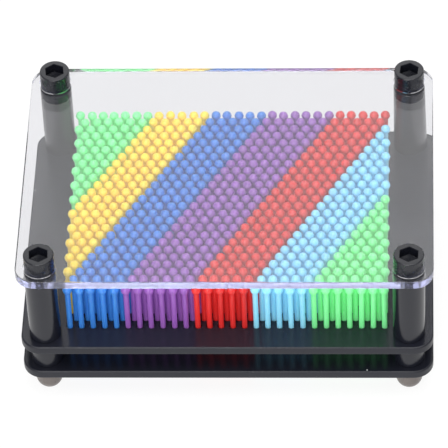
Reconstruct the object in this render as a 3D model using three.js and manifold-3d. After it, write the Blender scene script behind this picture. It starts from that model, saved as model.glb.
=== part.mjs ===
// Pin art impression toy: a desk toy with a bed of sliding plastic pins.
//
// Two black plates carry the pins, a clear cover hangs above them on four corner columns,
// and the toy stands on four soft feet.  Millimetres, +Z up, X to the right, Y to the back.
// The origin is the middle of the footprint, on the surface that the toy stands on.

import * as THREE from 'three';
import { mergeVertices } from 'three/addons/utils/BufferGeometryUtils.js';
import Module from 'manifold-3d';

const wasm = await Module();
wasm.setup();

// ---- driving dimensions -------------------------------------------------------------------

const plateWidth = 125;
const plateDepth = 92;
const plateThickness = 3;
const plateCornerRadius = 6;
const plateEdgeChamfer = 0.4;
const coverEdgeChamfer = 0.3;

const footHeight = 8.7;
const footRadius = 4.1;
const footFlatRadius = 1.5;
const plateSpacing = 7.7; // clear height between the two black plates
const viewingSpace = 26; // clear height between the upper black plate and the cover

const postX = 55.1; // the four corner posts stand at plus and minus these
const postY = 39.5;
const columnRadius = 4.85;
const columnBoreRadius = 2.5;
const columnChamfer = 0.3;

const capRadius = 4.6;
const capHeight = 5.6;
const capChamfer = 0.45;
const capSocketAcrossFlats = 5.4;
const capSocketDepth = 3.2;
const capSeatRadius = 5;
const capSeatDepth = 0.4; // the cap screws sit in a shallow round seat cut in the cover
const screwShankRadius = 2.2;
const screwEngagement = 12; // length of each screw inside its column
const footScrewHeadRadius = 2.8;
const footScrewCrownRadius = 2; // the flat end of its domed head
const footScrewHeadHeight = 2.4;
const footScrewHeadRim = 1.4; // height of the head's upright side
const fitGap = 0.3;

const pinPitch = 3.54; // the pins stand on a grid of equal triangles
const pinRows = 25;
const pinsInLongRow = 28; // every second row is one pin shorter and half a pitch over
const pinLength = 39.6;
const pinHeadRadius = 1.29;
const pinStemSide = 1.46; // a square of the same area as the round stem
const pinStemSink = 0.43; // depth that each stem reaches into the slab of heads
const pinSlotWidth = 2.1;

const roundSides = 16;
const headSides = 8;

// ---- worked-out heights -------------------------------------------------------------------

const lowerPlateZ = footHeight;
const spacerZ = lowerPlateZ + plateThickness;
const upperPlateZ = spacerZ + plateSpacing;
const columnZ = upperPlateZ + plateThickness;
const coverZ = columnZ + viewingSpace;
const capZ = coverZ + plateThickness - capSeatDepth;
const rowPitch = (pinPitch * Math.sqrt(3)) / 2;

// ---- materials ----------------------------------------------------------------------------

const finish = (colour, roughness, metalness = 0) =>
  new THREE.MeshStandardMaterial({ color: colour, roughness, metalness });

const clearAcrylic = finish(0xe6eaf4, 0.05);
clearAcrylic.transparent = true;
clearAcrylic.opacity = 0.3;
const blackAcrylic = finish(0x15161a, 0.18);
const blackPost = finish(0x2a2b2e, 0.4);
const blackScrew = finish(0x222326, 0.42);
const zincScrew = finish(0xa8aaac, 0.35, 1);
const footRubber = finish(0x8c8078, 0.5);

// ---- solids -------------------------------------------------------------------------------

/** Turns a closed geometry into a solid that can be cut and joined. */
function toSolid(geometry) {
  const bare = geometry.clone();
  bare.deleteAttribute('normal');
  bare.deleteAttribute('uv');
  const merged = mergeVertices(bare, 1e-5);
  return new wasm.Manifold(
    new wasm.Mesh({
      numProp: 3,
      vertProperties: new Float32Array(merged.attributes.position.array),
      triVerts: new Uint32Array(merged.index.array),
    }),
  );
}

/** Turns a solid back into a geometry with flat normals. */
function toGeometry(solid) {
  const mesh = solid.getMesh();
  const geometry = new THREE.BufferGeometry();
  geometry.setAttribute('position', new THREE.BufferAttribute(mesh.vertProperties, 3));
  geometry.setIndex(new THREE.BufferAttribute(mesh.triVerts, 1));
  const flat = geometry.toNonIndexed();
  flat.computeVertexNormals();
  return flat;
}

/** A turned piece about +Z; the profile is a list of [radius, height]. */
function turned(profile, sides = roundSides) {
  const points = profile.map(([radius, height]) => new THREE.Vector2(radius, height));
  return new THREE.LatheGeometry(points, sides).rotateX(Math.PI / 2);
}

/** A plain cylinder about +Z between two heights. */
function rod(radius, bottom, top, sides = roundSides) {
  return turned([[0, bottom], [radius, bottom], [radius, top], [0, top]], sides);
}

/** A box between two corners. */
function block(low, high) {
  const size = high.map((value, axis) => value - low[axis]);
  const centre = high.map((value, axis) => (value + low[axis]) / 2);
  return new THREE.BoxGeometry(...size).translate(...centre);
}

/** A flat plate with round corners and a chamfered edge, standing on height zero. */
function plateBlank(edge) {
  const x = plateWidth / 2;
  const y = plateDepth / 2;
  const r = plateCornerRadius;
  const outline = new THREE.Shape();
  outline.moveTo(-x + r, -y);
  outline.absarc(x - r, -y + r, r, -Math.PI / 2, 0, false);
  outline.absarc(x - r, y - r, r, 0, Math.PI / 2, false);
  outline.absarc(-x + r, y - r, r, Math.PI / 2, Math.PI, false);
  outline.absarc(-x + r, -y + r, r, Math.PI, Math.PI * 1.5, false);
  return new THREE.ExtrudeGeometry(outline, {
    depth: plateThickness - 2 * edge,
    bevelEnabled: true,
    bevelThickness: edge,
    bevelSize: edge,
    bevelOffset: -edge,
    bevelSegments: 1,
    curveSegments: 4,
  }).translate(0, 0, edge);
}

// ---- the pin grid -------------------------------------------------------------------------

/** The pins of one row, back row first: each has its row, its colour diagonal and its place. */
function pinRow(row) {
  const short = row % 2;
  return Array.from({ length: pinsInLongRow - short }, (_, index) => ({
    row,
    diagonal: index + Math.ceil(row / 2),
    x: (index + short / 2 - (pinsInLongRow - 1) / 2) * pinPitch,
    y: ((pinRows - 1) / 2 - row) * rowPitch,
  }));
}

const allPins = Array.from({ length: pinRows }, (_, row) => pinRow(row)).flat();

// Each colour is one slanting band across the bed.  A band is split after the rows that
// `starts` gives into blocks of about twenty pins, and each block slides by itself.
const pinBands = [
  { name: 'pins_left_green', colour: 0x3fdc72, diagonals: [0, 6], starts: [0, 3, 6] },
  { name: 'pins_yellow', colour: 0xf2c230, diagonals: [7, 11], starts: [0, 4, 8, 12, 16] },
  { name: 'pins_blue', colour: 0x2f72dc, diagonals: [12, 16], starts: [0, 4, 8, 12, 16, 20] },
  { name: 'pins_purple', colour: 0x8048b8, diagonals: [17, 22], starts: [0, 4, 7, 11, 14, 18, 21] },
  { name: 'pins_red', colour: 0xdc2c30, diagonals: [23, 27], starts: [0, 4, 8, 12, 16, 20] },
  { name: 'pins_sky', colour: 0x86c8f0, diagonals: [28, 32], starts: [0, 9, 13, 17, 21] },
  { name: 'pins_right_green', colour: 0x3fdc72, diagonals: [33, 39], starts: [0, 19, 22] },
];

/** The outline of a tight cord laid round a set of points, anticlockwise. */
function hullAround(points) {
  const sorted = [...points].sort((a, b) => a.x - b.x || a.y - b.y);
  const turn = (a, b, c) => (b.x - a.x) * (c.y - a.y) - (b.y - a.y) * (c.x - a.x);
  const chain = (list) => {
    const kept = [];
    for (const point of list) {
      while (kept.length > 1 && turn(kept.at(-2), kept.at(-1), point) < 1e-6) kept.pop();
      kept.push(point);
    }
    kept.pop();
    return kept;
  };
  return [...chain(sorted), ...chain(sorted.reverse())];
}

/** One block of pins: a square stem for each pin, joined by one slab at the height of the heads. */
function pinBlock(pins) {
  const headCircles = pins.flatMap(({ x, y }) =>
    Array.from({ length: headSides }, (_, side) => {
      const angle = (side / headSides) * Math.PI * 2;
      return new THREE.Vector2(x + pinHeadRadius * Math.cos(angle), y + pinHeadRadius * Math.sin(angle));
    }),
  );
  const slabZ = pinLength - pinHeadRadius;
  const slab = new THREE.ExtrudeGeometry(new THREE.Shape(hullAround(headCircles)), {
    depth: pinHeadRadius,
    bevelEnabled: false,
  }).translate(0, 0, slabZ);
  const half = pinStemSide / 2;
  const stemTop = slabZ + pinStemSink;
  const stems = pins.map(({ x, y }) => toSolid(block([x - half, y - half, 0], [x + half, y + half, stemTop])));
  return toGeometry(stems.reduce((joined, stem) => joined.add(stem), toSolid(slab)));
}

// ---- pieces -------------------------------------------------------------------------------

// Each cap screw is tightened to its own angle, `twist` degrees from square.
const cornerPosts = [
  { side: 'front_left', x: -postX, y: -postY, twist: 4 },
  { side: 'front_right', x: postX, y: -postY, twist: -3 },
  { side: 'back_left', x: -postX, y: postY, twist: 7 },
  { side: 'back_right', x: postX, y: postY, twist: -6 },
];

/** A black plate: one slot for each row of pins, and a screw hole at each corner. */
function pinPlate() {
  let plate = toSolid(plateBlank(plateEdgeChamfer));
  for (let row = 0; row < pinRows; row += 1) {
    const pins = pinRow(row);
    const y = pins[0].y;
    const halfSlot = pinSlotWidth / 2;
    const low = [pins[0].x - halfSlot, y - halfSlot, -1];
    const high = [pins.at(-1).x + halfSlot, y + halfSlot, plateThickness + 1];
    plate = plate.subtract(toSolid(block(low, high)));
  }
  for (const { x, y } of cornerPosts) {
    plate = plate.subtract(toSolid(rod(columnBoreRadius, -1, plateThickness + 1).translate(x, y, 0)));
  }
  return toGeometry(plate);
}

/** The clear cover, with a through hole and a shallow seat for each cap screw. */
function clearCover() {
  let cover = toSolid(plateBlank(coverEdgeChamfer));
  for (const { x, y } of cornerPosts) {
    const hole = rod(columnBoreRadius, -1, plateThickness + 1);
    const seat = rod(capSeatRadius, plateThickness - capSeatDepth, plateThickness + 1);
    cover = cover.subtract(toSolid(hole.translate(x, y, 0)));
    cover = cover.subtract(toSolid(seat.translate(x, y, 0)));
  }
  return toGeometry(cover);
}

/** A tube with chamfered ends, for a column or a short spacer. */
function tube(height) {
  return turned([
    [columnBoreRadius, 0],
    [columnRadius - columnChamfer, 0],
    [columnRadius, columnChamfer],
    [columnRadius, height - columnChamfer],
    [columnRadius - columnChamfer, height],
    [columnBoreRadius, height],
    [columnBoreRadius, 0],
  ]);
}

/** A socket cap screw standing on height zero, with its shank hanging below. */
function capScrew() {
  const shankBottom = -(plateThickness - capSeatDepth + screwEngagement);
  const body = turned([
    [0, shankBottom],
    [screwShankRadius, shankBottom],
    [screwShankRadius, 0],
    [capRadius, 0],
    [capRadius, capHeight - capChamfer],
    [capRadius - capChamfer, capHeight],
    [0, capHeight],
  ]);
  const socketRadius = capSocketAcrossFlats / Math.sqrt(3);
  const socket = rod(socketRadius, capHeight - capSocketDepth, capHeight + 1, 6);
  return toGeometry(toSolid(body).subtract(toSolid(socket)));
}

/** A pan-head screw that hangs its head below height zero and reaches up into the column. */
function footScrew() {
  const top = 2 * plateThickness + plateSpacing + screwEngagement;
  return turned([
    [0, -footScrewHeadHeight],
    [footScrewCrownRadius, -footScrewHeadHeight],
    [footScrewHeadRadius, -footScrewHeadRim],
    [footScrewHeadRadius, 0],
    [screwShankRadius, 0],
    [screwShankRadius, top],
    [0, top],
  ]);
}

/** A soft domed foot with a recess in its top that swallows the screw head. */
function foot() {
  const flatAngle = Math.asin(footFlatRadius / footRadius);
  const domeZ = footRadius * Math.cos(flatAngle);
  const domeSteps = 4;
  const dome = Array.from({ length: domeSteps + 1 }, (_, step) => {
    const angle = flatAngle + (Math.PI / 2 - flatAngle) * (step / domeSteps);
    return [footRadius * Math.sin(angle), domeZ - footRadius * Math.cos(angle)];
  });
  const recessRadius = footScrewHeadRadius + fitGap;
  const recessZ = footHeight - footScrewHeadHeight - fitGap;
  return turned([
    [0, 0],
    ...dome,
    [footRadius, footHeight],
    [recessRadius, footHeight],
    [recessRadius, recessZ],
    [0, recessZ],
  ]);
}

// ---- assembly -----------------------------------------------------------------------------

const toy = new THREE.Group();

/** Adds one named piece to the toy. */
function addPiece(name, geometry, material, x = 0, y = 0, z = 0) {
  const piece = new THREE.Mesh(geometry, material);
  piece.name = name;
  piece.position.set(x, y, z);
  toy.add(piece);
  return piece;
}

addPiece('lower_pin_plate', pinPlate(), blackAcrylic, 0, 0, lowerPlateZ);
addPiece('upper_pin_plate', pinPlate(), blackAcrylic, 0, 0, upperPlateZ);
addPiece('clear_cover', clearCover(), clearAcrylic, 0, 0, coverZ);

for (const { side, x, y, twist } of cornerPosts) {
  const cap = addPiece(`cap_screw_${side}`, capScrew(), blackScrew, x, y, capZ);
  cap.rotation.z = THREE.MathUtils.degToRad(twist);
  addPiece(`column_${side}`, tube(viewingSpace), blackPost, x, y, columnZ);
  addPiece(`spacer_${side}`, tube(plateSpacing), blackPost, x, y, spacerZ);
  addPiece(`foot_screw_${side}`, footScrew(), zincScrew, x, y, lowerPlateZ);
  addPiece(`foot_${side}`, foot(), footRubber, x, y, 0);
}

for (const { name, colour, diagonals, starts } of pinBands) {
  starts.forEach((start, index) => {
    const end = starts[index + 1] ?? pinRows;
    const pins = allPins.filter(
      ({ row, diagonal }) =>
        row >= start && row < end && diagonal >= diagonals[0] && diagonal <= diagonals[1],
    );
    addPiece(`${name}_${index + 1}`, pinBlock(pins), finish(colour, 0.35));
  });
}

export default toy;
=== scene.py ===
"""Looks of a pin art impression toy, built around its fixed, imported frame.

The toy is a bed of coloured plastic pins in two black acrylic plates, under a clear cover on four
corner posts.  Every shape is worked out in millimetres and stored in metres, in the frame's own
axes: +X to the right, +Y to the back, +Z up from the surface that the toy stands on.
"""

import logging
import math
from dataclasses import dataclass, field
from enum import Enum

import bmesh
import bpy
import numpy as np
from mathutils import Matrix, Vector
from mathutils.geometry import delaunay_2d_cdt


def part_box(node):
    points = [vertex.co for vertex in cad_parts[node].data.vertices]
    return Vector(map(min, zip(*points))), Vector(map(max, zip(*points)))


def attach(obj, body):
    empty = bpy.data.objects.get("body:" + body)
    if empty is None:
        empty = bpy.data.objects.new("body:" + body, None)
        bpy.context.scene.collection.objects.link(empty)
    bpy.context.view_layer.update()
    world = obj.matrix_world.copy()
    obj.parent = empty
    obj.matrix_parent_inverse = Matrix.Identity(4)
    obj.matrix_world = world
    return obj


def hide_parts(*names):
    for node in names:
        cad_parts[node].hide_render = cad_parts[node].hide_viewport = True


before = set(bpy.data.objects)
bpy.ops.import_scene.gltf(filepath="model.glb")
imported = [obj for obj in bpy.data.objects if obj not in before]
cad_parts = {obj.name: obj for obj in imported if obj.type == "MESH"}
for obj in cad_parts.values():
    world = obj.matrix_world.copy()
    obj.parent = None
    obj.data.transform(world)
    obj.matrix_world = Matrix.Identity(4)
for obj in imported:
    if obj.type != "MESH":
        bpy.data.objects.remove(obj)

LOG = logging.getLogger("pin_toy")
MM = 0.001
SEED = 20
FRAME_BODY = "frame"
CORNERS = {
    "front_left": (-1, -1),
    "front_right": (1, -1),
    "back_left": (-1, 1),
    "back_right": (1, 1),
}
SCREW_TWISTS = dict(zip(CORNERS, (4.0, -3.0, 7.0, -6.0)))  # degrees that each screw's socket is turned
AIR_FILM = 0.05  # the thin gap that keeps a sheet's face bright over the post or screw that touches it
MERGE_DISTANCE = 1e-7  # points nearer than this, in metres, are one
LEAST_EDGE = 1e-8  # shorter edges, in metres, are closed up
HAIRLINE_STRETCH = (1.0, 0.06, 1.0)
HAIRLINE_TURN = 0.5
HAIRLINE_WIDTH = 0.004
PIN_ROUGHNESS = 0.35
WHITE = (1.0, 1.0, 1.0, 1.0)

Rgb = tuple[float, float, float]
Profile = list[tuple[float, float]]


# ---- places read from the frame -----------------------------------------------------------


@dataclass(frozen=True)
class NodeBox:
    """The box of one frame node at rest, in millimetres."""

    low: np.ndarray
    high: np.ndarray

    @classmethod
    def of(cls, node: str) -> "NodeBox":
        """Reads the box of a named node.

        Args:
            node: The node's name.

        Returns:
            Its box in millimetres.
        """
        low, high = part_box(node)
        return cls(np.array(low) / MM, np.array(high) / MM)

    @property
    def size(self) -> np.ndarray:
        """The box's three lengths."""
        return self.high - self.low

    @property
    def centre(self) -> np.ndarray:
        """The middle of the box."""
        return (self.high + self.low) / 2


# ---- surfaces as arrays -------------------------------------------------------------------


def unit_circle(sides: int) -> np.ndarray:
    """Points round a circle of radius one: (cos a, sin a) at equal steps of a.

    Args:
        sides: The number of points.

    Returns:
        An array of (sides, 2).
    """
    angle = np.arange(sides) * (2 * math.pi / sides)
    return np.stack([np.cos(angle), np.sin(angle)], axis=1)


def ring_quads(rings: int, sides: int) -> np.ndarray:
    """Quads of a grid of closed rings, each ring joined to the next.

    Args:
        rings: The number of rings.
        sides: The number of points in each ring.

    Returns:
        An array of (quads, 4) point numbers, facing out when the rings climb and turn left.
    """
    ring, side = np.meshgrid(np.arange(rings - 1), np.arange(sides), indexing="ij")
    here = ring * sides + side
    beside = ring * sides + (side + 1) % sides
    return np.stack([here, beside, beside + sides, here + sides], axis=-1).reshape(-1, 4)


def turned_grid(profile: Profile, sides: int) -> tuple[np.ndarray, np.ndarray]:
    """A surface of revolution: the point at (t, a) is (r(t) cos a, r(t) sin a, z(t)).

    Args:
        profile: Radius and height along the outline, from the bottom of the axis to its top.
        sides: The number of sides of each ring.

    Returns:
        The points as (rings * sides, 3) and the quads between them.
    """
    outline = np.array(profile)
    circle = unit_circle(sides)
    points = np.empty((len(outline), sides, 3))
    points[..., :2] = outline[:, None, :1] * circle
    points[..., 2] = outline[:, None, 1]
    return points.reshape(-1, 3), ring_quads(len(outline), sides)


def arc(
    centre: tuple[float, float], radius: float, start: float, end: float, steps: int
) -> Profile:
    """A round stretch of an outline.

    Args:
        centre: The arc's centre, as radius and height.
        radius: The arc's own radius.
        start: The first angle in degrees, 0 pointing outwards and 90 up.
        end: The last angle in degrees.
        steps: The number of straight steps.

    Returns:
        The points of the arc.
    """
    angle = np.radians(np.linspace(start, end, steps + 1))
    return list(zip(centre[0] + radius * np.cos(angle), centre[1] + radius * np.sin(angle)))


def make_piece(
    name: str, points: np.ndarray, faces: list[list[int]], crease_angle: float = 40.0
) -> bpy.types.Object:
    """Turns points and faces into an object at the origin, with doubles merged.

    Each corner's normal is the mean of its faces' normals, weighted by their areas, so a large flat
    face next to a narrow rounding keeps its own normal.

    Args:
        name: The piece's name.
        points: Points in millimetres, (n, 3).
        faces: Point numbers of each face.
        crease_angle: Edges bent more than this, in degrees, are kept sharp.

    Returns:
        The new object, linked to the scene.
    """
    mesh = bpy.data.meshes.new(name)
    mesh.from_pydata((points * MM).tolist(), [], faces)
    work = bmesh.new()
    work.from_mesh(mesh)
    bmesh.ops.remove_doubles(work, verts=work.verts, dist=MERGE_DISTANCE)
    bmesh.ops.dissolve_degenerate(work, edges=work.edges, dist=LEAST_EDGE)
    bmesh.ops.recalc_face_normals(work, faces=work.faces)
    work.to_mesh(mesh)
    work.free()
    mesh.shade_smooth()
    mesh.set_sharp_from_angle(angle=math.radians(crease_angle))
    piece = bpy.data.objects.new(f"{name}_fine", mesh)
    piece.modifiers.new("flat_faces_stay_flat", "WEIGHTED_NORMAL").keep_sharp = True
    bpy.context.scene.collection.objects.link(piece)
    return piece


# ---- shader node groups -------------------------------------------------------------------


class Shading:
    """Short ways to place and join shader nodes in one node tree."""

    def __init__(self, tree: bpy.types.NodeTree) -> None:
        """Remembers the tree that is being filled."""
        self.tree = tree

    def add(self, kind: str, **settings: object) -> bpy.types.Node:
        """Adds a node and sets its own properties.

        Args:
            kind: The node's type name.
            settings: Properties to set on the node.

        Returns:
            The new node.
        """
        node = self.tree.nodes.new(kind)
        for key, value in settings.items():
            setattr(node, key, value)
        return node

    def join(self, source: bpy.types.NodeSocket, target: bpy.types.NodeSocket) -> None:
        """Links an output to an input."""
        self.tree.links.new(source, target)

    def feed(self, node: bpy.types.Node, **inputs: object) -> bpy.types.Node:
        """Sets or links a node's inputs; an underscore in a name stands for a space.

        Args:
            node: The node whose inputs are set.
            inputs: A value, or an output socket to link, for each input.

        Returns:
            The same node.
        """
        for key, value in inputs.items():
            socket = node.inputs[key.replace("_", " ")]
            if isinstance(value, bpy.types.NodeSocket):
                self.join(value, socket)
            else:
                socket.default_value = value
        return node

    def maths(
        self, operation: str, first: object, second: object = 0.0, third: object = 0.0
    ) -> bpy.types.NodeSocket:
        """Adds a Math node.

        Args:
            operation: The Math node's operation.
            first: A number or an output socket.
            second: The same, where the operation needs it.
            third: The same, where the operation needs it.

        Returns:
            The node's output.
        """
        node = self.add("ShaderNodeMath", operation=operation)
        for socket, value in zip(node.inputs, (first, second, third)):
            if isinstance(value, bpy.types.NodeSocket):
                self.join(value, socket)
            else:
                socket.default_value = value
        return node.outputs[0]


class SurfaceEffect(Enum):
    """The effects that several finishes share, each a shader node group."""

    MOTTLE = "mottle"
    DUST = "dust"
    HAIRLINES = "hairlines"
    CUT_SIDES = "cut_sides"


GROUP_INPUTS = {
    SurfaceEffect.MOTTLE: {"Scale": 400.0, "Amount": 0.1},
    SurfaceEffect.DUST: {"Scale": 250.0, "Size": 0.05, "Share": 0.3},
    SurfaceEffect.HAIRLINES: {"Scale": 60.0, "Share": 0.2},
    SurfaceEffect.CUT_SIDES: {"Steepness": 0.9},
}


def effect_group(effect: SurfaceEffect) -> bpy.types.NodeTree:
    """The node group of one effect, built the first time that it is asked for.

    Args:
        effect: Which effect.

    Returns:
        The node group, with Vector and its own values as inputs and Value as output.
    """
    if effect.value in bpy.data.node_groups:
        return bpy.data.node_groups[effect.value]
    group = bpy.data.node_groups.new(effect.value, "ShaderNodeTree")
    group.interface.new_socket("Vector", in_out="INPUT", socket_type="NodeSocketVector")
    for name, value in GROUP_INPUTS[effect].items():
        socket = group.interface.new_socket(name, in_out="INPUT", socket_type="NodeSocketFloat")
        socket.default_value = value
    group.interface.new_socket("Value", in_out="OUTPUT", socket_type="NodeSocketFloat")
    shade = Shading(group)
    given = shade.add("NodeGroupInput").outputs
    result = {
        SurfaceEffect.MOTTLE: mottle_value,
        SurfaceEffect.DUST: dust_value,
        SurfaceEffect.HAIRLINES: hairline_value,
        SurfaceEffect.CUT_SIDES: cut_side_value,
    }[effect](shade, given)
    out = shade.add("NodeGroupOutput")
    shade.join(result, out.inputs["Value"])
    return group


def mottle_value(shade: Shading, given: bpy.types.bpy_prop_collection) -> bpy.types.NodeSocket:
    """A soft cloudy factor round one: 1 + Amount * (2 * noise - 1).

    Args:
        shade: The group being filled.
        given: The group's inputs.

    Returns:
        The factor.
    """
    noise = shade.add("ShaderNodeTexNoise")
    shade.feed(noise, Vector=given["Vector"], Scale=given["Scale"], Detail=3.0)
    centred = shade.maths("MULTIPLY_ADD", noise.outputs["Fac"], 2.0, -1.0)
    return shade.maths("MULTIPLY_ADD", centred, given["Amount"], 1.0)


def dust_value(shade: Shading, given: bpy.types.bpy_prop_collection) -> bpy.types.NodeSocket:
    """Small specks: one within Size of a scattered point, at a Share of the points.

    Args:
        shade: The group being filled.
        given: The group's inputs.

    Returns:
        The mask of the specks.
    """
    cells = shade.feed(shade.add("ShaderNodeTexVoronoi"), Vector=given["Vector"], Scale=given["Scale"])
    near = shade.maths("LESS_THAN", cells.outputs["Distance"], given["Size"])
    parts = shade.feed(shade.add("ShaderNodeSeparateColor"), Color=cells.outputs["Color"])
    chosen = shade.maths("LESS_THAN", parts.outputs["Red"], given["Share"])
    return shade.maths("MULTIPLY", near, chosen)


def hairline_value(shade: Shading, given: bpy.types.bpy_prop_collection) -> bpy.types.NodeSocket:
    """Fine handling marks: thin bands where a stretched noise crosses its middle.

    Args:
        shade: The group being filled.
        given: The group's inputs.

    Returns:
        The mask of the marks, zero to one.
    """
    stretch = shade.feed(shade.add("ShaderNodeMapping"), Vector=given["Vector"])
    stretch.inputs["Scale"].default_value = HAIRLINE_STRETCH
    stretch.inputs["Rotation"].default_value = (0.0, 0.0, HAIRLINE_TURN)
    noise = shade.add("ShaderNodeTexNoise")
    shade.feed(noise, Vector=stretch.outputs[0], Scale=given["Scale"], Detail=2.0)
    away = shade.maths("ABSOLUTE", shade.maths("SUBTRACT", noise.outputs["Fac"], 0.5))
    thin = shade.maths("LESS_THAN", away, HAIRLINE_WIDTH)
    return shade.maths("MULTIPLY", thin, given["Share"])


def cut_side_value(shade: Shading, given: bpy.types.bpy_prop_collection) -> bpy.types.NodeSocket:
    """One on a sheet's cut faces, its edge and holes, where the normal's height is under Steepness.

    Args:
        shade: The group being filled.
        given: The group's inputs, Vector being the surface's own normal.

    Returns:
        The mask of the cut faces.
    """
    parts = shade.feed(shade.add("ShaderNodeSeparateXYZ"), Vector=given["Vector"])
    height = shade.maths("ABSOLUTE", parts.outputs["Z"])
    return shade.maths("LESS_THAN", height, given["Steepness"])


# ---- finishes -----------------------------------------------------------------------------


@dataclass(frozen=True)
class Finish:
    """A surface finish: the material is built once, under the finish's own name."""

    name: str
    slot: str
    colour: Rgb
    roughness: float

    def material(self) -> bpy.types.Material:
        """The finish as a material, built the first time that it is asked for.

        Returns:
            The material.
        """
        if self.name in bpy.data.materials:
            return bpy.data.materials[self.name]
        made = bpy.data.materials.new(self.name)
        made.use_nodes = True
        made.diffuse_color = (*self.colour, 1.0)
        shade = Shading(made.node_tree)
        shader = made.node_tree.nodes["Principled BSDF"]
        shader.inputs["Base Color"].default_value = (*self.colour, 1.0)
        shader.inputs["Roughness"].default_value = self.roughness
        self.dress(shade, shader, shade.add("ShaderNodeTexCoord").outputs["Object"])
        return made

    def dress(self, shade: Shading, shader: bpy.types.Node, where: bpy.types.NodeSocket) -> None:
        """Adds this finish's own detail; a plain finish adds none."""

    def effect(
        self, shade: Shading, effect: SurfaceEffect, where: bpy.types.NodeSocket, **values: float
    ) -> bpy.types.NodeSocket:
        """Places a shared effect in the material.

        Args:
            shade: The material's tree.
            effect: Which effect.
            where: The coordinates that it reads.
            values: The effect's own inputs.

        Returns:
            The effect's value.
        """
        node = shade.add("ShaderNodeGroup", node_tree=effect_group(effect))
        shade.feed(node, Vector=where, **values)
        return node.outputs["Value"]

    def cut_sides(self, shade: Shading, steepness: float) -> bpy.types.NodeSocket:
        """The mask of a sheet's cut faces.

        Args:
            shade: The material's tree.
            steepness: The greatest height that a cut face's normal has.

        Returns:
            The mask.
        """
        normal = shade.add("ShaderNodeTexCoord").outputs["Normal"]
        return self.effect(shade, SurfaceEffect.CUT_SIDES, normal, Steepness=steepness)

    def tinted(self, shade: Shading, factor: bpy.types.NodeSocket) -> bpy.types.NodeSocket:
        """The finish's colour times a factor.

        Args:
            shade: The material's tree.
            factor: The factor at each place.

        Returns:
            The colour.
        """
        node = shade.add("ShaderNodeMix", data_type="RGBA", blend_type="MULTIPLY")
        node.inputs["Factor"].default_value = 1.0
        node.inputs["A"].default_value = (*self.colour, 1.0)
        grey = shade.add("ShaderNodeCombineColor")
        shade.feed(grey, Red=factor, Green=factor, Blue=factor)
        shade.join(grey.outputs[0], node.inputs["B"])
        return node.outputs["Result"]


@dataclass(frozen=True)
class BlackAcrylic(Finish):
    """Polished black sheet with handling marks and a little dust."""

    dust: Rgb = (0.6, 0.6, 0.62)
    cut_steepness: float = 0.99
    cut_roughness: float = 0.2
    shine: float = 0.38

    def dress(self, shade: Shading, shader: bpy.types.Node, where: bpy.types.NodeSocket) -> None:
        """Dusts the sheet, and varies its gloss softly with fine marks."""
        shader.inputs["Specular IOR Level"].default_value = self.shine
        specks = self.effect(shade, SurfaceEffect.DUST, where, Scale=190.0, Size=0.05, Share=0.3)
        dusty = shade.add("ShaderNodeMix", data_type="RGBA")
        shade.join(specks, dusty.inputs["Factor"])
        cloud = self.effect(shade, SurfaceEffect.MOTTLE, where, Scale=90.0, Amount=0.15)
        shade.join(self.tinted(shade, cloud), dusty.inputs["A"])
        dusty.inputs["B"].default_value = (*self.dust, 1.0)
        shade.join(dusty.outputs["Result"], shader.inputs["Base Color"])
        marks = self.effect(shade, SurfaceEffect.HAIRLINES, where, Scale=260.0, Share=0.04)
        gloss = self.effect(shade, SurfaceEffect.MOTTLE, where, Scale=140.0, Amount=0.25)
        rough = shade.maths("MULTIPLY_ADD", gloss, self.roughness, marks)
        cut = self.cut_sides(shade, self.cut_steepness)
        rougher = shade.maths("MULTIPLY_ADD", cut, self.cut_roughness, rough)
        shade.join(rougher, shader.inputs["Roughness"])


@dataclass(frozen=True)
class ClearAcrylic(Finish):
    """Clear sheet with fine handling marks, which lets the lamps' light through to the pins."""

    clarity: float = 0.98
    index: float = 1.49
    lamp_tint: Rgb = (0.97, 0.97, 0.98)
    cut_steepness: float = 0.5
    # painted light: lavender tint of the cut edge, standing in for light carried along the sheet and
    # out of its edge
    cut_edge_painted_tint: Rgb = (0.46, 0.48, 0.78)
    cut_roughness: float = 0.06

    def dress(self, shade: Shading, shader: bpy.types.Node, where: bpy.types.NodeSocket) -> None:
        """Makes the sheet glass to the eye and nearly open to the lamps, its cut edge given a painted
        lavender tint that stands in for the light seen along the sheet's edge.
        """
        shader.inputs["Transmission Weight"].default_value = self.clarity
        shader.inputs["IOR"].default_value = self.index
        cut = self.cut_sides(shade, self.cut_steepness)
        # painted light: the cut faces take a lavender tint standing in for the light seen through the
        # sheet's edge
        colour = shade.add("ShaderNodeMix", data_type="RGBA")
        shade.join(cut, colour.inputs["Factor"])
        colour.inputs["A"].default_value = (*self.colour, 1.0)
        colour.inputs["B"].default_value = (*self.cut_edge_painted_tint, 1.0)
        shade.join(colour.outputs["Result"], shader.inputs["Base Color"])
        marks = self.effect(shade, SurfaceEffect.HAIRLINES, where, Scale=200.0, Share=0.06)
        rough = shade.maths("ADD", marks, self.roughness)
        rougher = shade.maths("MULTIPLY_ADD", cut, self.cut_roughness, rough)
        shade.join(rougher, shader.inputs["Roughness"])
        through = shade.add("ShaderNodeBsdfTransparent")
        through.inputs["Color"].default_value = (*self.lamp_tint, 1.0)
        path = shade.add("ShaderNodeLightPath")
        choice = shade.add("ShaderNodeMixShader")
        shade.join(path.outputs["Is Shadow Ray"], choice.inputs["Fac"])
        shade.join(shader.outputs[0], choice.inputs[1])
        shade.join(through.outputs[0], choice.inputs[2])
        output = shade.tree.nodes["Material Output"]
        shade.join(choice.outputs[0], output.inputs["Surface"])


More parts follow.
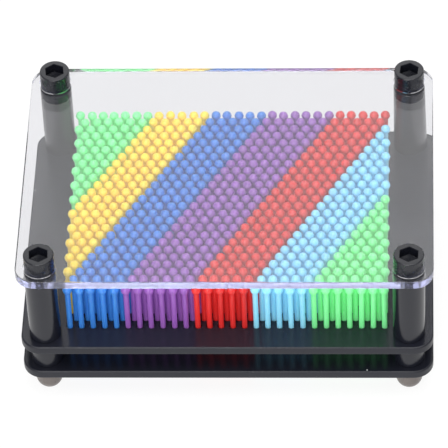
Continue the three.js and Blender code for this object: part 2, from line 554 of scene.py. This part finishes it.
@dataclass(frozen=True)
class SatinBlack(Finish):
    """Satin black, moulded or blackened, with a fine grain in its gloss and surface."""

    grain_scale: float = 900.0
    grain_depth: float = 0.006

    def dress(self, shade: Shading, shader: bpy.types.Node, where: bpy.types.NodeSocket) -> None:
        """Clouds the colour, varies the gloss and raises a fine grain."""
        cloud = self.effect(shade, SurfaceEffect.MOTTLE, where, Scale=220.0, Amount=0.2)
        shade.join(self.tinted(shade, cloud), shader.inputs["Base Color"])
        gloss = self.effect(shade, SurfaceEffect.MOTTLE, where, Scale=500.0, Amount=0.2)
        shade.join(shade.maths("MULTIPLY", gloss, self.roughness), shader.inputs["Roughness"])
        grain = self.effect(shade, SurfaceEffect.MOTTLE, where, Scale=self.grain_scale, Amount=1.0)
        bump = shade.add("ShaderNodeBump")
        shade.feed(bump, Height=grain, Strength=self.grain_depth, Distance=MM)
        shade.join(bump.outputs[0], shader.inputs["Normal"])


@dataclass(frozen=True)
class PlatedSteel(Finish):
    """Bright plated steel for the hidden screws."""

    def dress(self, shade: Shading, shader: bpy.types.Node, where: bpy.types.NodeSocket) -> None:
        """Makes the finish a metal with a slightly uneven gloss."""
        shader.inputs["Metallic"].default_value = 1.0
        gloss = self.effect(shade, SurfaceEffect.MOTTLE, where, Scale=700.0, Amount=0.3)
        shade.join(shade.maths("MULTIPLY", gloss, self.roughness), shader.inputs["Roughness"])


@dataclass(frozen=True)
class SoftRubber(Finish):
    """Half-clear soft rubber that light soaks into."""

    soak_share: float = 0.4
    soak_reach: Rgb = (1.0, 0.8, 0.65)
    soak_depth: float = 1.5

    def dress(self, shade: Shading, shader: bpy.types.Node, where: bpy.types.NodeSocket) -> None:
        """Lets light soak in and through, and clouds the colour."""
        shader.inputs["Subsurface Weight"].default_value = self.soak_share
        shader.inputs["Subsurface Radius"].default_value = self.soak_reach
        shader.inputs["Subsurface Scale"].default_value = self.soak_depth * MM
        cloud = self.effect(shade, SurfaceEffect.MOTTLE, where, Scale=350.0, Amount=0.15)
        shade.join(self.tinted(shade, cloud), shader.inputs["Base Color"])
        gloss = self.effect(shade, SurfaceEffect.MOTTLE, where, Scale=900.0, Amount=0.2)
        shade.join(shade.maths("MULTIPLY", gloss, self.roughness), shader.inputs["Roughness"])


@dataclass(frozen=True)
class PinPlastic(Finish):
    """Glossy moulded plastic; each pin has its own tone of the colour, at random, and a faint painted
    glow stands in for light bounced between the pins.
    """

    spread: float = 0.1
    # glow: strength of the painted glow, the pins' own colour emitted to stand in for light bounced
    # between them
    glow: float = 0.16
    soak_depth: float = 2.0

    def dress(self, shade: Shading, shader: bpy.types.Node, where: bpy.types.NodeSocket) -> None:
        """Shades each pin by its own attribute, softens its gloss and adds a painted glow in the pin's
        own colour, standing in for light bounced between the pins.
        """
        shader.inputs["Subsurface Weight"].default_value = 1.0
        shader.inputs["Subsurface Radius"].default_value = (1.0, 1.0, 1.0)
        shader.inputs["Subsurface Scale"].default_value = self.soak_depth * MM
        own = shade.add("ShaderNodeAttribute", attribute_name=PinBed.SHADE_ATTRIBUTE)
        factor = shade.maths("MULTIPLY_ADD", own.outputs["Fac"], self.spread, 1.0 - self.spread / 2)
        cloud = self.effect(shade, SurfaceEffect.MOTTLE, where, Scale=600.0, Amount=0.05)
        colour = self.tinted(shade, shade.maths("MULTIPLY", factor, cloud))
        shade.join(colour, shader.inputs["Base Color"])
        # painted glow: the pin's colour is also emitted as light, standing in for light bounced between
        # neighbouring pins
        shade.join(colour, shader.inputs["Emission Color"])
        shader.inputs["Emission Strength"].default_value = self.glow
        gloss = self.effect(shade, SurfaceEffect.MOTTLE, where, Scale=900.0, Amount=0.25)
        shade.join(shade.maths("MULTIPLY", gloss, self.roughness), shader.inputs["Roughness"])


@dataclass(frozen=True)
class LightTable(Finish):
    """The white floor: a sheet with soft light of its own, as on a studio's light table."""

    glow: float = 0.5

    def dress(self, shade: Shading, shader: bpy.types.Node, where: bpy.types.NodeSocket) -> None:
        """Adds the sheet's own light."""
        shader.inputs["Emission Color"].default_value = WHITE
        shader.inputs["Emission Strength"].default_value = self.glow


CLEAR_ACRYLIC = ClearAcrylic("polished_clear_sheet", "clear_acrylic", (0.73, 0.73, 0.755), 0.0)
BLACK_ACRYLIC = BlackAcrylic("polished_black_sheet", "black_acrylic", (0.012, 0.013, 0.020), 0.19)
BLACK_POST = SatinBlack("satin_black_post", "black_post", (0.009, 0.010, 0.016), 0.21)
BLACK_SCREW = SatinBlack("satin_black_screw", "black_screw", (0.007, 0.008, 0.013), 0.27, 700.0, 0.01)
ZINC_STEEL = PlatedSteel("bright_zinc", "zinc_screw", (0.62, 0.63, 0.64), 0.35)
FOOT_RUBBER = SoftRubber("soft_taupe_rubber", "foot_rubber", (0.155, 0.135, 0.125), 0.3)


class PinColour(Enum):
    """The colours that the pins are moulded in."""

    GREEN = PinPlastic("moulded_green", "pin_green", (0.22, 0.82, 0.32), PIN_ROUGHNESS)
    YELLOW = PinPlastic("moulded_yellow", "pin_yellow", (0.92, 0.66, 0.045), PIN_ROUGHNESS)
    BLUE = PinPlastic("moulded_blue", "pin_blue", (0.04, 0.20, 0.58), PIN_ROUGHNESS)
    PURPLE = PinPlastic("moulded_purple", "pin_purple", (0.27, 0.10, 0.40), PIN_ROUGHNESS)
    RED = PinPlastic("moulded_red", "pin_red", (0.62, 0.025, 0.024), PIN_ROUGHNESS)
    SKY = PinPlastic("moulded_sky", "pin_sky", (0.26, 0.62, 0.82), PIN_ROUGHNESS)


def hand_in(piece: bpy.types.Object, finish: Finish, body: str, node: str) -> None:
    """Gives a finished piece its material and its body, and hides the frame node that it stands for.

    Args:
        piece: The piece.
        finish: Its finish.
        body: The body that it moves with.
        node: The frame node that it replaces.
    """
    piece.data.materials.append(finish.material())
    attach(piece, body)
    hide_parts(node)


# ---- the sheets ---------------------------------------------------------------------------


@dataclass
class HoleSet:
    """Round holes of one shape: the wall is turned about each hole's own axis."""

    centres: np.ndarray
    wall: Profile
    sides: int

    def loops(self, radius: float) -> np.ndarray:
        """The holes' circles at one radius, as (holes, sides, 2)."""
        return self.centres[:, None, :] + radius * unit_circle(self.sides)

    def walls(self) -> tuple[np.ndarray, np.ndarray]:
        """The walls of all the holes: a turned grid, copied to each centre.

        Returns:
            The points and the quads.
        """
        points, quads = turned_grid(self.wall, self.sides)
        shift = np.zeros((len(self.centres), 1, 3))
        shift[:, 0, :2] = self.centres
        count = len(points)
        every = (points[None] + shift).reshape(-1, 3)
        numbers = quads[None] + count * np.arange(len(self.centres))[:, None, None]
        return every, numbers.reshape(-1, 4)


@dataclass
class DrilledSheet:
    """A flat sheet with round corners, a shaped edge, and round holes through it."""

    box: NodeBox
    corner_radius: float
    edge: Profile
    holes: list[HoleSet]
    corner_steps: int = 10
    same_point: float = 1e-6

    def outline(self, inset: float) -> np.ndarray:
        """The outline moved in by a distance: four arcs about fixed corner centres.

        Args:
            inset: How far the outline is moved in.

        Returns:
            The points anticlockwise, (n, 2).
        """
        half = self.box.size[:2] / 2 - self.corner_radius
        middle = self.box.centre[:2]
        angle = np.radians(np.linspace(0, 90, self.corner_steps + 1))
        angle = angle[None] + np.radians([[0], [90], [180], [270]])
        signs = np.array([[1, 1], [-1, 1], [-1, -1], [1, -1]])
        centres = middle + signs * half
        spokes = np.stack([np.cos(angle), np.sin(angle)], axis=-1)
        return (centres[:, None, :] + (self.corner_radius - inset) * spokes).reshape(-1, 2)

    def face(self, inset: float, height: float, end: int) -> tuple[np.ndarray, np.ndarray]:
        """One flat face: triangles between the outline and the holes' circles.

        Args:
            inset: How far the face's edge lies inside the outline.
            height: The face's height.
            end: Which end of the holes' walls meets this face, 0 or -1.

        Returns:
            The points and the triangles.
        """
        loops = [self.outline(inset)[None]] + [hole.loops(hole.wall[end][0]) for hole in self.holes]
        starts = np.cumsum([0] + [loop.shape[0] * loop.shape[1] for loop in loops])
        edges = []
        for loop, start in zip(loops, starts):
            count = np.arange(loop.shape[0])[:, None] * loop.shape[1] + start
            step = np.arange(loop.shape[1])[None]
            after = (step + 1) % loop.shape[1]
            edges.append(np.stack([count + step, count + after], axis=-1).reshape(-1, 2))
        flat = np.concatenate([loop.reshape(-1, 2) for loop in loops])
        joined = np.concatenate(edges).tolist()
        found = delaunay_2d_cdt(list(map(Vector, flat)), joined, [], 0, self.same_point)
        points = np.array(found[0])
        triangles = np.array(found[2])
        middle = points[triangles].mean(axis=1)
        solid = np.ones(len(triangles), bool)
        for hole in self.holes:
            reach = hole.wall[end][0] * math.cos(math.pi / hole.sides)
            gap = np.linalg.norm(middle[:, None, :] - hole.centres[None], axis=2).min(axis=1)
            solid &= gap > reach
        lifted = np.column_stack([points, np.full(len(points), height)])
        return lifted, triangles[solid]

    def build(self, name: str) -> bpy.types.Object:
        """Joins the two faces, the shaped edge and the holes' walls.

        Args:
            name: The piece's name.

        Returns:
            The sheet.
        """
        bottom, top = self.box.low[2], self.box.high[2]
        around = 4 * (self.corner_steps + 1)
        rings = [
            np.column_stack([self.outline(inset), np.full(around, bottom + rise)])
            for inset, rise in self.edge
        ]
        parts = [
            self.face(self.edge[0][0], bottom, 0),
            self.face(self.edge[-1][0], top, -1),
            (np.concatenate(rings), ring_quads(len(rings), len(rings[0]))),
        ]
        for hole in self.holes:
            points, quads = hole.walls()
            points[:, 2] += bottom
            parts.append((points, quads))
        faces: list[list[int]] = []
        first = 0
        for points, numbers in parts:
            faces += (numbers + first).tolist()
            first += len(points)
        return make_piece(name, np.concatenate([points for points, _ in parts]), faces)


def round_edge(thickness: float, radius: float, steps: int) -> Profile:
    """A sheet's edge rounded at both rims: (inset, height) along an arc, a flat and an arc.

    Args:
        thickness: The sheet's thickness.
        radius: The rounding's radius.
        steps: The steps of each arc.

    Returns:
        The edge's outline from the bottom face to the top face.
    """
    angle = np.radians(np.linspace(0, 90, steps + 1))
    inset = radius * (1 - np.sin(angle))
    rise = radius * (1 - np.cos(angle))
    lower = list(zip(inset, rise))
    return lower + [(x, thickness - z) for x, z in reversed(lower)]


@dataclass
class PinPlate:
    """A black plate drilled for every pin and for the four screws."""

    node: str
    pins: "PinGrid"
    posts: "PostLayout"
    corner_radius: float = 6.0
    edge_radius: float = 0.55
    edge_steps: int = 4
    pin_hole_radius: float = 1.1
    pin_hole_sides: int = 12
    rim_bevel: float = 0.1
    screw_hole_radius: float = 2.5
    screw_hole_sides: int = 24

    def build(self) -> bpy.types.Object:
        """Builds the drilled plate and dresses it.

        Returns:
            The plate.
        """
        box = NodeBox.of(self.node)
        thick = float(box.size[2])
        edge = round_edge(thick, self.edge_radius, self.edge_steps)
        pin_wall = self.hole_wall(self.pin_hole_radius, thick)
        screw_wall = self.hole_wall(self.screw_hole_radius, thick)
        holes = [
            HoleSet(self.pins.places()[:, :2], pin_wall, self.pin_hole_sides),
            HoleSet(self.posts.places(), screw_wall, self.screw_hole_sides),
        ]
        sheet = DrilledSheet(box, self.corner_radius, edge, holes)
        plate = sheet.build(self.node)
        hand_in(plate, BLACK_ACRYLIC, FRAME_BODY, self.node)
        return plate

    def hole_wall(self, radius: float, thick: float) -> Profile:
        """A hole's wall with a small bevel at each rim, from the bottom face up."""
        bevel = self.rim_bevel
        wide = radius + bevel
        return [(wide, 0.0), (radius, bevel), (radius, thick - bevel), (wide, thick)]


@dataclass
class ClearCover:
    """The clear cover, with a screw hole and a shallow round seat at each corner."""

    posts: "PostLayout"
    node: str = "clear_cover"
    corner_radius: float = 6.0
    edge_radius: float = 0.3
    edge_steps: int = 2
    hole_radius: float = 2.5
    hole_sides: int = 48
    seat_radius: float = 5.0
    seat_depth: float = 0.4

    def build(self) -> bpy.types.Object:
        """Builds the cover and dresses it.

        Returns:
            The cover.
        """
        box = NodeBox.of(self.node)
        thick = float(box.size[2])
        wall = [
            (self.hole_radius, 0.0),
            (self.hole_radius, thick - self.seat_depth),
            (self.seat_radius, thick - self.seat_depth),
            (self.seat_radius, thick),
        ]
        edge = round_edge(thick, self.edge_radius, self.edge_steps)
        holes = [HoleSet(self.posts.places(), wall, self.hole_sides)]
        sheet = DrilledSheet(box, self.corner_radius, edge, holes)
        cover = sheet.build(self.node)
        hand_in(cover, CLEAR_ACRYLIC, FRAME_BODY, self.node)
        return cover


# ---- the posts ----------------------------------------------------------------------------


@dataclass
class PostLayout:
    """Where the four corner posts stand, read from the frame's columns."""

    def place(self, corner: str) -> np.ndarray:
        """The middle of one post, (x, y)."""
        return NodeBox.of(f"column_{corner}").centre[:2]

    def places(self) -> np.ndarray:
        """The middles of all four posts, (4, 2)."""
        return np.array([self.place(corner) for corner in CORNERS])


def stand(points: np.ndarray, place: np.ndarray, height: float) -> np.ndarray:
    """Moves points that were made round the axis to a post.

    Args:
        points: Points about the origin.
        place: The post's middle.
        height: The height that the piece stands on.

    Returns:
        The moved points.
    """
    return points + np.array([place[0], place[1], height])


@dataclass
class PostTube:
    """A tube between two sheets: a long column or a short spacer."""

    kind: str
    corner: str
    posts: PostLayout
    bore_radius: float = 2.5
    rim_radius: float = 0.35
    sides: int = 64

    def build(self) -> bpy.types.Object:
        """Turns the tube, its rims rounded, and dresses it.

        Returns:
            The tube.
        """
        node = f"{self.kind}_{self.corner}"
        box = NodeBox.of(node)
        radius, height = float(box.size[0]) / 2, float(box.size[2]) - AIR_FILM
        rim = self.rim_radius
        profile = (
            [(self.bore_radius, 0.0)]
            + arc((radius - rim, rim), rim, -90, 0, 4)
            + arc((radius - rim, height - rim), rim, 0, 90, 4)
            + [(self.bore_radius, height), (self.bore_radius, 0.0)]
        )
        points, quads = turned_grid(profile, self.sides)
        points = stand(points, self.posts.place(self.corner), float(box.low[2]))
        tube = make_piece(node, points, quads.tolist())
        hand_in(tube, BLACK_POST, FRAME_BODY, node)
        return tube


@dataclass
class CapScrew:
    """A socket cap screw: a round head with a hexagonal socket, and its shank."""

    corner: str
    posts: PostLayout
    twist: float
    head_radius: float = 4.6
    head_height: float = 5.6
    rim_radius: float = 0.35
    under_radius: float = 0.2
    socket_across_flats: float = 5.4
    socket_depth: float = 3.2
    socket_bevel: float = 0.12
    socket_cone: float = 0.6
    shank_radius: float = 2.2
    sides: int = 72

    def hexagon(self, across_flats: float) -> np.ndarray:
        """A hexagon's radius at each side: half the flats over cos of the angle to the nearest.

        Args:
            across_flats: The distance between two flats.

        Returns:
            One radius for each side of the grid.
        """
        angle = np.arange(self.sides) * (2 * math.pi / self.sides)
        from_flat = (angle + math.pi / 6) % (math.pi / 3) - math.pi / 6
        return across_flats / 2 / np.cos(from_flat)

    def build(self) -> bpy.types.Object:
        """Builds the rings from the shank's tip up the head and down into the socket.

        Returns:
            The screw.
        """
        node = f"cap_screw_{self.corner}"
        box = NodeBox.of(node)
        top = float(box.high[2] - box.low[2])
        seat = top - self.head_height + AIR_FILM
        ones = np.ones(self.sides)
        rim, under = self.rim_radius, self.under_radius
        lower = arc((self.head_radius - under, under), under, -90, 0, 2)
        upper = arc((self.head_radius - rim, 0.0), rim, 0, 90, 5)
        rings = [(0 * ones, 0.0), (self.shank_radius * ones, 0.0), (self.shank_radius * ones, seat)]
        rings += [(radius * ones, seat + rise) for radius, rise in lower]
        rings += [(radius * ones, top - rim + rise) for radius, rise in upper]
        mouth = self.hexagon(self.socket_across_flats)
        bevelled = self.hexagon(self.socket_across_flats + 2 * self.socket_bevel)
        floor = top - self.socket_depth
        rings += [(bevelled, top), (mouth, top - self.socket_bevel)]
        rings += [(mouth, floor), (0 * ones, floor - self.socket_cone)]
        circle = unit_circle(self.sides)
        layers = [
            np.column_stack([radius[:, None] * circle, height * ones]) for radius, height in rings
        ]
        points = np.array(layers).reshape(-1, 3)
        turn = np.array(Matrix.Rotation(math.radians(self.twist), 3, "Z"))
        points = stand(points @ turn.T, self.posts.place(self.corner), float(box.low[2]))
        screw = make_piece(node, points, ring_quads(len(rings), self.sides).tolist(), 35.0)
        hand_in(screw, BLACK_SCREW, FRAME_BODY, node)
        return screw


@dataclass
class Foot:
    """A soft domed foot with a recess for the screw's head in its top."""

    corner: str
    posts: PostLayout
    flat_radius: float = 1.5
    recess_radius: float = 3.1
    recess_depth: float = 2.7
    rim_bevel: float = 0.2
    sides: int = 48

    def build(self) -> bpy.types.Object:
        """Turns the dome, its straight collar and the recess, and dresses it.

        Returns:
            The foot.
        """
        node = f"foot_{self.corner}"
        box = NodeBox.of(node)
        radius, height = float(box.size[0]) / 2, float(box.size[2])
        flat_angle = math.asin(self.flat_radius / radius)
        dome_centre = radius * math.cos(flat_angle)
        dome = arc((0.0, dome_centre), radius, math.degrees(flat_angle) - 90, 0, 10)
        profile = [(0.0, 0.0)] + dome + [
            (radius, height - self.rim_bevel),
            (radius - self.rim_bevel, height),
            (self.recess_radius, height),
            (self.recess_radius, height - self.recess_depth),
            (0.0, height - self.recess_depth),
        ]
        points, quads = turned_grid(profile, self.sides)
        points = stand(points, self.posts.place(self.corner), float(box.low[2]))
        foot = make_piece(node, points, quads.tolist())
        hand_in(foot, FOOT_RUBBER, FRAME_BODY, node)
        return foot


# ---- the pins -----------------------------------------------------------------------------


@dataclass(frozen=True)
class PinBand:
    """One slanting band of pins of a colour, split after given rows into blocks that slide."""

    node: str
    colour: PinColour
    diagonals: tuple[int, int]
    starts: tuple[int, ...]


PIN_BANDS = (
    PinBand("pins_left_green", PinColour.GREEN, (0, 6), (0, 3, 6)),
    PinBand("pins_yellow", PinColour.YELLOW, (7, 11), (0, 4, 8, 12, 16)),
    PinBand("pins_blue", PinColour.BLUE, (12, 16), (0, 4, 8, 12, 16, 20)),
    PinBand("pins_purple", PinColour.PURPLE, (17, 22), (0, 4, 7, 11, 14, 18, 21)),
    PinBand("pins_red", PinColour.RED, (23, 27), (0, 4, 8, 12, 16, 20)),
    PinBand("pins_sky", PinColour.SKY, (28, 32), (0, 9, 13, 17, 21)),
    PinBand("pins_right_green", PinColour.GREEN, (33, 39), (0, 19, 22)),
)


@dataclass
class PinGrid:
    """The grid of equal triangles that the pins stand on."""

    pitch: float = 3.54
    rows: int = 25
    long_row: int = 28

    def places(self) -> np.ndarray:
        """Every pin as (x, y, row, diagonal): odd rows are one pin shorter and half a pitch over.

        Returns:
            An array of (pins, 4), the back row first.
        """
        row, index = np.meshgrid(np.arange(self.rows), np.arange(self.long_row), indexing="ij")
        short = row % 2
        x = (index + short / 2 - (self.long_row - 1) / 2) * self.pitch
        y = ((self.rows - 1) / 2 - row) * self.pitch * math.sqrt(3) / 2
        diagonal = index + (row + 1) // 2
        every = np.stack([x, y, row, diagonal], axis=-1)
        return every[index < self.long_row - short]


@dataclass
class PinBed:
    """All the pins, block by block, each pin leaning a little in its loose holes."""

    SHADE_ATTRIBUTE = "pin_shade"

    grid: PinGrid
    length: float = 39.6
    head_radius: float = 1.5
    stem_radius: float = 0.85
    neck: float = 1.4
    ball_arc: tuple[float, float] = (-32.0, 66.0)
    tip_ring: tuple[float, float] = (0.62, 0.12)
    tip_height: float = 0.6
    sides: int = 10
    pivot_height: float = 15.5
    lean: float = 0.0045
    most_lean: float = 0.0075
    play: float = 0.03
    lift: float = 0.08
    most_lift: float = 0.22
    random: np.random.Generator = field(default_factory=lambda: np.random.default_rng(SEED))

    def profile(self) -> Profile:
        """One pin's outline: a rounded tip, a straight stem, a short flare and a ball head."""
        ball = self.length - self.head_radius
        return (
            [(0.0, 0.0), self.tip_ring]
            + [(self.stem_radius, self.tip_height), (self.stem_radius, ball - self.neck)]
            + arc((0.0, ball), self.head_radius, *self.ball_arc, 3)
            + [(0.0, self.length)]
        )

    def pins(self, places: np.ndarray) -> np.ndarray:
        """The points of many pins: each template point leans about the pivot, then moves to its place.

        A pin's point (x, y, z) goes to (X + x + a (z - p), Y + y + b (z - p), z + h), where a and b
        are its small slopes, p is the pivot height between the plates, and h is its lift.

        Args:
            places: The pins' places, (pins, 2).

        Returns:
            The points, (pins, template points, 3).
        """
        count = len(places)
        template, _ = turned_grid(self.profile(), self.sides)
        slope = self.random.normal(0.0, self.lean, (count, 2))
        size = np.linalg.norm(slope, axis=1, keepdims=True)
        slope *= np.minimum(1.0, self.most_lean / np.maximum(size, 1e-9))
        spot = places + self.random.uniform(-self.play, self.play, (count, 2))
        rise = np.minimum(np.abs(self.random.normal(0.0, self.lift, count)), self.most_lift)
        turn = self.random.uniform(0.0, math.pi, count)
        points = np.empty((count, len(template), 3))
        cosine, sine = np.cos(turn)[:, None], np.sin(turn)[:, None]
        above = template[None, :, 2] - self.pivot_height
        across, along = template[:, 0], template[:, 1]
        points[..., 0] = spot[:, :1] + cosine * across - sine * along + slope[:, :1] * above
        points[..., 1] = spot[:, 1:] + sine * across + cosine * along + slope[:, 1:] * above
        points[..., 2] = template[:, 2] + rise[:, None]
        return points

    def block(self, node: str, colour: PinColour, places: np.ndarray) -> bpy.types.Object:
        """One block of pins as one piece, with each pin's own shade stored on its points.

        Args:
            node: The frame node that the block stands for.
            colour: The pins' colour.
            places: The pins' places, (pins, 2).

        Returns:
            The block.
        """
        points = self.pins(places)
        count, size = points.shape[:2]
        quads = ring_quads(len(self.profile()), self.sides)
        numbers = quads[None] + size * np.arange(count)[:, None, None]
        piece = make_piece(node, points.reshape(-1, 3), numbers.reshape(-1, 4).tolist(), 60.0)
        shade = self.random.random(count)
        place = np.empty(len(piece.data.vertices) * 3)
        piece.data.vertices.foreach_get("co", place)
        flat = place.reshape(-1, 3)[:, :2] / MM
        nearest = np.linalg.norm(flat[:, None, :] - places[None], axis=2).argmin(axis=1)
        attribute = piece.data.attributes.new(self.SHADE_ATTRIBUTE, "FLOAT", "POINT")
        attribute.data.foreach_set("value", shade[nearest])
        hand_in(piece, colour.value, node, node)
        return piece

    def build(self) -> list[bpy.types.Object]:
        """Builds every block of every band.

        Returns:
            The blocks.
        """
        every = self.grid.places()
        row, diagonal = every[:, 2], every[:, 3]
        blocks = []
        for band in PIN_BANDS:
            ends = (*band.starts[1:], self.grid.rows)
            in_band = (diagonal >= band.diagonals[0]) & (diagonal <= band.diagonals[1])
            for number, (start, end) in enumerate(zip(band.starts, ends), 1):
                mine = in_band & (row >= start) & (row < end)
                blocks.append(self.block(f"{band.node}_{number}", band.colour, every[mine, :2]))
        return blocks


# ---- the studio ---------------------------------------------------------------------------


@dataclass
class Studio:
    """The camera, the pale floor and the soft light."""

    azimuth: float = -3.905
    elevation: float = 45.77
    roll: float = -2.855
    distance: float = 1.2635
    aim: tuple[float, float, float] = (-0.00216, 0.00287, 0.02587)
    lens: float = 328.0
    sensor: float = 36.0
    sight: float = 20.0
    floor_size: float = 6.0
    floor_colour: Rgb = (0.1, 0.1, 0.1)
    floor_roughness: float = 0.9
    floor_glow: float = 0.9
    room_brightness: float = 0.45

    def build(self) -> None:
        """Places the camera, floor, world and lamps."""
        self.place_camera()
        self.lay_floor()
        self.light()

    def place_camera(self) -> None:
        """Points the camera at the aim from its azimuth, elevation and roll."""
        azimuth, elevation = math.radians(self.azimuth), math.radians(self.elevation)
        forward = Vector((
            math.sin(azimuth) * math.cos(elevation),
            math.cos(azimuth) * math.cos(elevation),
            -math.sin(elevation),
        ))
        data = bpy.data.cameras.new("camera")
        data.lens = self.lens
        data.sensor_width = self.sensor
        data.clip_end = self.sight
        camera = bpy.data.objects.new("camera", data)
        bpy.context.scene.collection.objects.link(camera)
        level = forward.to_track_quat("-Z", "Y").to_matrix()
        tilt = Matrix.Rotation(math.radians(self.roll), 3, "Z")
        place = Matrix.Translation(Vector(self.aim) - forward * self.distance)
        camera.matrix_world = place @ (level @ tilt).to_4x4()
        bpy.context.scene.camera = camera

    def lay_floor(self) -> None:
        """Lays one large pale sheet under the toy."""
        half = self.floor_size / 2
        mesh = bpy.data.meshes.new("floor")
        corners = [(-half, -half, 0), (half, -half, 0), (half, half, 0), (-half, half, 0)]
        mesh.from_pydata(corners, [], [(0, 1, 2, 3)])
        floor = bpy.data.objects.new("floor", mesh)
        bpy.context.scene.collection.objects.link(floor)
        finish = LightTable("light_table", "", self.floor_colour, self.floor_roughness, self.floor_glow)
        floor.data.materials.append(finish.material())

    def light(self) -> None:
        """Fills the room with soft white light and hangs three large lamps."""
        world = bpy.data.worlds.new("studio")
        world.use_nodes = True
        background = world.node_tree.nodes["Background"]
        background.inputs["Color"].default_value = WHITE
        background.inputs["Strength"].default_value = self.room_brightness
        bpy.context.scene.world = world
        self.lamp("back_softbox", (-0.06, 1.0, 1.03), 1.1, 1.3)
        self.lamp("top_softbox", (0.1, -0.2, 1.2), 0.9, 3.9)
        self.lamp("front_softbox", (-0.35, -1.3, 0.75), 0.8, 5.5)

    def lamp(
        self, name: str, place: tuple[float, float, float], size: float, brightness: float
    ) -> None:
        """Hangs one square lamp that faces the toy.

        Args:
            name: The lamp's name.
            place: Where it hangs.
            size: The length of its side.
            brightness: The radiance of its face.
        """
        data = bpy.data.lights.new(name, "AREA")
        data.shape = "SQUARE"
        data.size = size
        data.energy = brightness * math.pi * size**2
        lamp = bpy.data.objects.new(name, data)
        lamp.location = place
        lamp.rotation_euler = (Vector(self.aim) - Vector(place)).to_track_quat("-Z", "Y").to_euler()
        bpy.context.scene.collection.objects.link(lamp)

    def show_true_colours(self) -> None:
        """Plain colour handling, and enough bounces for light inside the clear sheet's edges."""
        scene = bpy.context.scene
        scene.view_settings.view_transform = "Standard"
        scene.cycles.max_bounces = 24
        scene.cycles.glossy_bounces = 20
        scene.cycles.transmission_bounces = 24


# ---- the toy ------------------------------------------------------------------------------


def report(pieces: list[bpy.types.Object]) -> None:
    """Logs each piece's name and face count."""
    for piece in pieces:
        LOG.info("%s: %d faces", piece.name, len(piece.data.polygons))


def main() -> None:
    """Builds the studio and the toy."""
    logging.basicConfig(level=logging.INFO, format="%(name)s %(message)s")
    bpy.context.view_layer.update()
    studio = Studio()
    studio.build()
    studio.show_true_colours()
    posts = PostLayout()
    grid = PinGrid()
    pieces = [ClearCover(posts).build()]
    pieces += [PinPlate(node, grid, posts).build() for node in ("upper_pin_plate", "lower_pin_plate")]
    for corner in CORNERS:
        pieces.append(CapScrew(corner, posts, SCREW_TWISTS[corner]).build())
        pieces.append(PostTube("column", corner, posts).build())
        pieces.append(PostTube("spacer", corner, posts).build())
        pieces.append(Foot(corner, posts).build())
        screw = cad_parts[f"foot_screw_{corner}"]
        screw.data.materials.clear()
        screw.data.materials.append(ZINC_STEEL.material())
    pieces += PinBed(grid).build()
    report(pieces)


if __name__ == "__main__":
    main()
